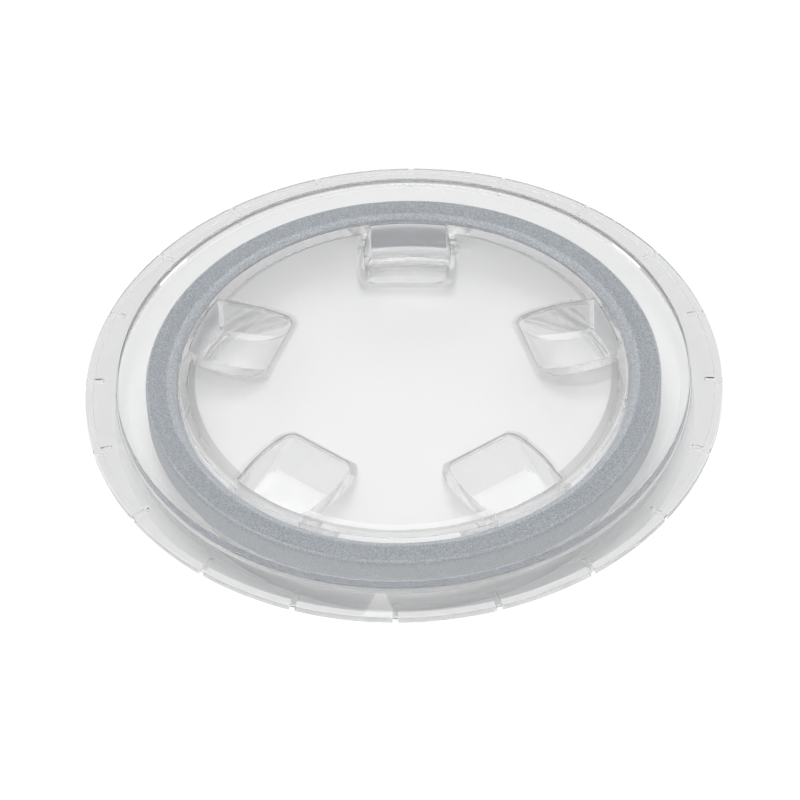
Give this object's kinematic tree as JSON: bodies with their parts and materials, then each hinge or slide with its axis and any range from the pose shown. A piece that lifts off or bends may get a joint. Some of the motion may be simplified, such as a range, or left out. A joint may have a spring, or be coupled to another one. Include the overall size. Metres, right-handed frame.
{
  "type": "access hatch",
  "caption": "Round clear deck access hatch: bonded flange with a collar, screw-in lid with finger pockets, and a cord seal.",
  "frame": {"origin": "centre of the hatch on the plane of the deck's surface, which the flange's underside rests on", "axes": "+Z out of the deck along the lid's axis, +Y through one finger pocket"},
  "size_m": [0.165, 0.165, 0.0208],
  "materials": {
    "clear_ring": "clear moulded polycarbonate, glossy",
    "clear_lid": "clear moulded polycarbonate, glossy",
    "seal_cord": "grey sponge rubber, speckled, matt"
  },
  "bodies": {
    "deck_ring": {"deck_ring": "clear_ring"},
    "seal": {"seal_ring": "seal_cord"},
    "lid": {"lid": "clear_lid"}
  },
  "joints": [
    {"name": "lid_rise", "type": "slide", "parent": "deck_ring", "child": "seal", "axis": [0, 0, 1], "range_m": [0, 0.00801]},
    {"name": "lid_turn", "type": "hinge", "parent": "seal", "child": "lid", "pos_m": [0, 0, 0], "axis": [0, 0, 1], "range_deg": [0, 720]}
  ],
  "couplings": [
    {"joint": "lid_rise", "follows": "lid_turn", "m_per_rad": 0.00063662}
  ]
}
